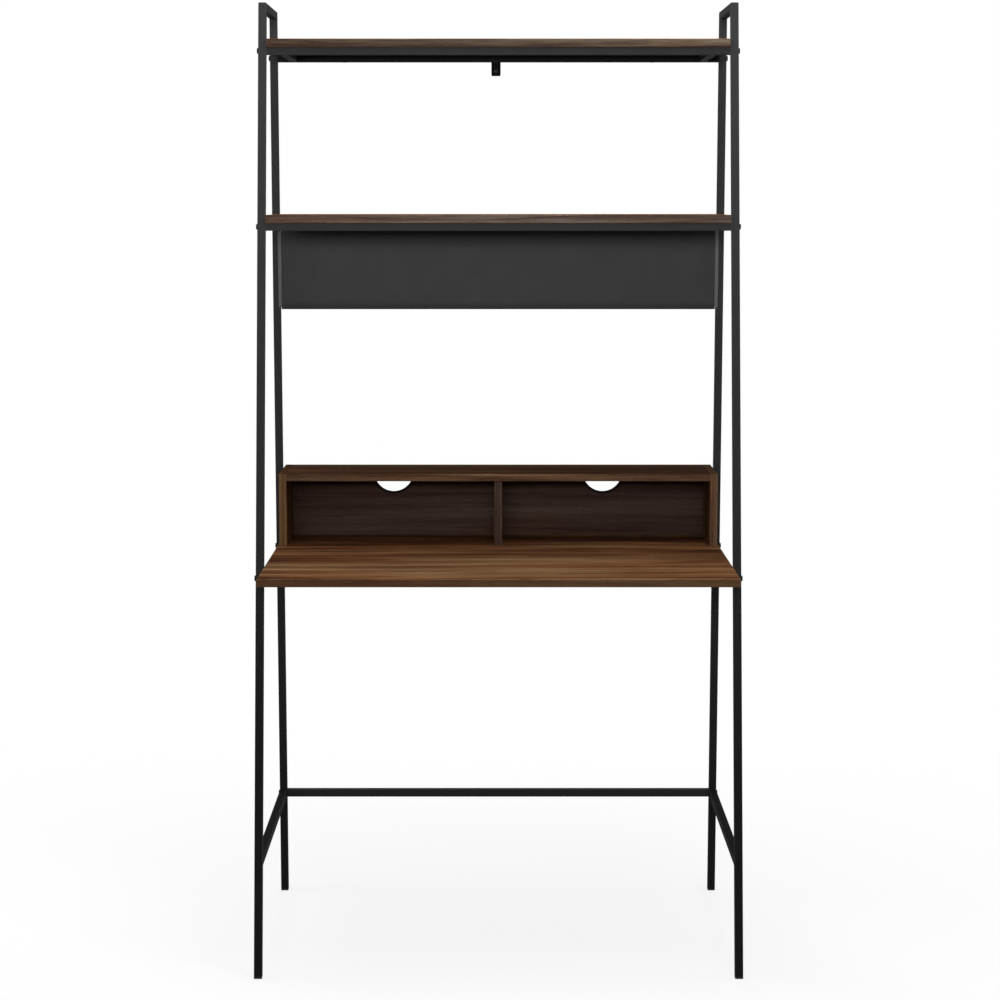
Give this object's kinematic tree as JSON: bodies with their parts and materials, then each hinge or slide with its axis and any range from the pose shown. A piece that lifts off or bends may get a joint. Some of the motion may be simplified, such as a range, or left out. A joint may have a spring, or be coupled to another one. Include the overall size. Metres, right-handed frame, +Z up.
{
  "type": "ladder desk with hutch",
  "caption": "Ladder-style desk of black square steel tube and walnut laminate, with a low divided hutch on the desk top, open shelves above it and a folded sheet panel at the back.",
  "frame": {"origin": "on the floor, midway between the side frames and midway between the wall plane and the front of the front feet", "axes": "+X to the right seen from the front, +Y from the front towards the wall, +Z up"},
  "size_m": [0.9196, 0.508, 1.816],
  "materials": {
    "black_steel": "matte black powder coat",
    "panel_grey": "matte dark grey powder coat",
    "walnut_laminate": "dark walnut laminate, satin",
    "foot_plastic": "black moulded plastic",
    "black_fastener": "black oxide",
    "zinc_steel": "bright zinc plate"
  },
  "bodies": {
    "root": {"front_leg_left": "black_steel", "front_leg_right": "black_steel", "rear_leg_left": "black_steel", "rear_leg_right": "black_steel", "top_bar_left": "black_steel", "top_bar_right": "black_steel", "side_stretcher_left": "black_steel", "side_stretcher_right": "black_steel", "back_stretcher": "black_steel", "wall_bracket": "black_steel", "desk_front_rail": "black_steel", "desk_rear_rail": "black_steel", "desk_side_rail_left": "black_steel", "desk_side_rail_right": "black_steel", "mid_shelf_front_rail": "black_steel", "mid_shelf_rear_rail": "black_steel", "mid_shelf_side_rail_left": "black_steel", "mid_shelf_side_rail_right": "black_steel", "top_shelf_front_rail": "black_steel", "top_shelf_rear_rail": "black_steel", "top_shelf_side_rail_left": "black_steel", "top_shelf_side_rail_right": "black_steel", "back_panel": "panel_grey", "desk_board": "walnut_laminate", "mid_shelf_board": "walnut_laminate", "top_shelf_board": "walnut_laminate", "hutch_top": "walnut_laminate", "hutch_side_left": "walnut_laminate", "hutch_side_right": "walnut_laminate", "hutch_divider": "walnut_laminate", "hutch_back": "walnut_laminate", "front_foot_left": "foot_plastic", "front_foot_right": "foot_plastic", "rear_foot_left": "foot_plastic", "rear_foot_right": "foot_plastic", "desk_bolts": "black_fastener", "mid_shelf_bolts": "black_fastener", "top_shelf_bolts": "black_fastener", "stretcher_bolts": "black_fastener", "desk_rail_plugs": "zinc_steel", "mid_shelf_rail_plugs": "zinc_steel", "top_shelf_rail_plugs": "zinc_steel", "stretcher_plugs": "zinc_steel"}
  },
  "joints": []
}
